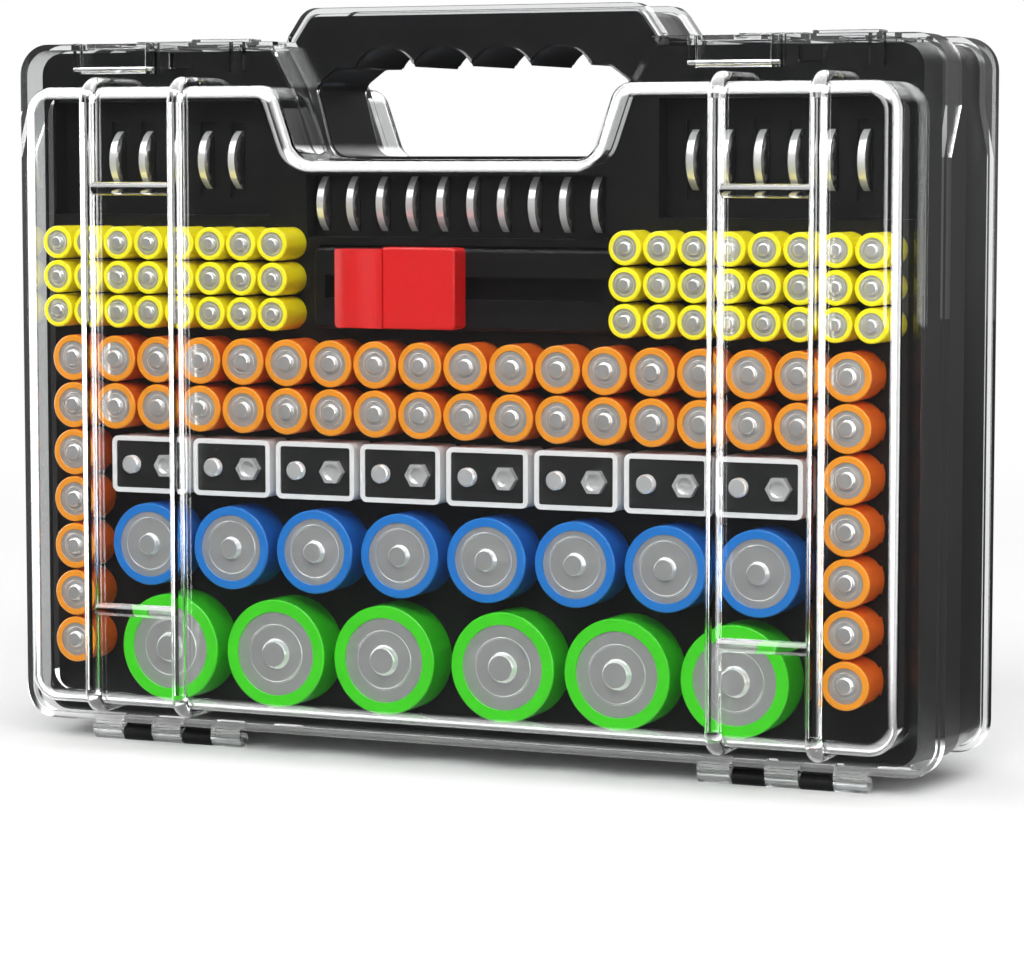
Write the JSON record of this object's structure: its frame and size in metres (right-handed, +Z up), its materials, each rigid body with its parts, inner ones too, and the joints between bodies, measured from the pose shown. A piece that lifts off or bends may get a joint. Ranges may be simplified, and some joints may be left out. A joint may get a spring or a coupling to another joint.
{
  "type": "battery storage case",
  "caption": "Upright two-sided battery case: black tray with a moulded grip hole, clear ribbed lids hinged front and back, snap latches, cell pockets, coin slots and a sliding tester.",
  "frame": {"origin": "on the floor under the middle of the standing case", "axes": "+X along the width, to the right in the front view; -Y out of the front lid; +Z up"},
  "size_m": [0.309, 0.0916, 0.2348],
  "materials": {
    "aa_cell_sleeve": "gloss printed sleeve",
    "aaa_cell_sleeve": "gloss printed sleeve",
    "black_plastic": "satin moulded black",
    "c_cell_sleeve": "gloss printed sleeve",
    "cell_metal": "nickel plated",
    "clear_plastic": "clear, polished",
    "coin_steel": "nickel plated",
    "d_cell_sleeve": "gloss printed sleeve",
    "nine_volt_case": "satin printed metal",
    "nine_volt_face": "satin",
    "rear_blue_cell_wrap": "gloss printed sleeve",
    "rear_cyan_cell_wrap": "gloss printed sleeve",
    "rear_green_cell_wrap": "gloss printed sleeve",
    "rear_light_blue_cell_wrap": "gloss printed sleeve",
    "rear_lime_cell_wrap": "gloss printed sleeve",
    "rear_orange_cell_wrap": "gloss printed sleeve",
    "rear_slim_green_cell_wrap": "gloss printed sleeve",
    "rear_yellow_cell_wrap": "gloss printed sleeve",
    "red_plastic": "gloss",
    "screw_steel": "bright zinc"
  },
  "bodies": {
    "case": {"aa_cell_metal_ends": "cell_metal", "aa_cell_sleeves": "aa_cell_sleeve", "aaa_cell_metal_ends": "cell_metal", "aaa_cell_sleeves": "aaa_cell_sleeve", "c_cell_metal_ends": "cell_metal", "c_cell_sleeves": "c_cell_sleeve", "case_screws": "screw_steel", "d_cell_metal_ends": "cell_metal", "d_cell_sleeves": "d_cell_sleeve", "front_coin_cells": "coin_steel", "front_lid_hinge_pins": "screw_steel", "front_tray": "black_plastic", "nine_volt_cases": "nine_volt_case", "nine_volt_faces": "nine_volt_face", "nine_volt_large_studs": "cell_metal", "nine_volt_small_studs": "cell_metal", "rear_blue_cell_nubs": "cell_metal", "rear_blue_cells": "rear_blue_cell_wrap", "rear_coin_cells": "coin_steel", "rear_cyan_cell_nubs": "cell_metal", "rear_cyan_cells": "rear_cyan_cell_wrap", "rear_green_cell_nubs": "cell_metal", "rear_green_cells": "rear_green_cell_wrap", "rear_lid_hinge_pins": "screw_steel", "rear_light_blue_cell_nubs": "cell_metal", "rear_light_blue_cells": "rear_light_blue_cell_wrap", "rear_lime_cell_nubs": "cell_metal", "rear_lime_cells": "rear_lime_cell_wrap", "rear_orange_cell_nubs": "cell_metal", "rear_orange_cells": "rear_orange_cell_wrap", "rear_slim_green_cell_nubs": "cell_metal", "rear_slim_green_cells": "rear_slim_green_cell_wrap", "rear_tray": "black_plastic", "rear_yellow_cell_nubs": "cell_metal", "rear_yellow_cells": "rear_yellow_cell_wrap", "tester_body": "black_plastic", "tester_end_contact": "screw_steel"},
    "front_lid": {"front_lid": "clear_plastic", "front_latch_pins": "screw_steel"},
    "rear_lid": {"rear_lid": "clear_plastic", "rear_latch_pins": "screw_steel"},
    "front_left_latch": {"front_left_latch": "clear_plastic"},
    "front_right_latch": {"front_right_latch": "clear_plastic"},
    "rear_left_latch": {"rear_left_latch": "clear_plastic"},
    "rear_right_latch": {"rear_right_latch": "clear_plastic"},
    "tester_slider": {"tester_slider": "red_plastic", "tester_slider_contact": "screw_steel"}
  },
  "joints": [
    {"name": "front_lid_hinge", "type": "hinge", "parent": "case", "child": "front_lid", "pos_m": [0, -0.022, 0.0022], "axis": [1, 0, 0], "range_deg": [0, 165]},
    {"name": "rear_lid_hinge", "type": "hinge", "parent": "case", "child": "rear_lid", "pos_m": [0, 0.022, 0.0022], "axis": [-1, 0, 0], "range_deg": [0, 165]},
    {"name": "front_left_latch_hinge", "type": "hinge", "parent": "front_lid", "child": "front_left_latch", "pos_m": [-0.1186, -0.0295, 0.2161], "axis": [1, 0, 0], "range_deg": [0, 85]},
    {"name": "front_right_latch_hinge", "type": "hinge", "parent": "front_lid", "child": "front_right_latch", "pos_m": [0.0901, -0.0295, 0.2161], "axis": [1, 0, 0], "range_deg": [0, 85]},
    {"name": "rear_left_latch_hinge", "type": "hinge", "parent": "rear_lid", "child": "rear_left_latch", "pos_m": [-0.0901, 0.0295, 0.2161], "axis": [-1, 0, 0], "range_deg": [0, 85]},
    {"name": "rear_right_latch_hinge", "type": "hinge", "parent": "rear_lid", "child": "rear_right_latch", "pos_m": [0.1186, 0.0295, 0.2161], "axis": [-1, 0, 0], "range_deg": [0, 85]},
    {"name": "tester_slide", "type": "slide", "parent": "case", "child": "tester_slider", "axis": [1, 0, 0], "range_m": [-0.006, 0.048]}
  ]
}
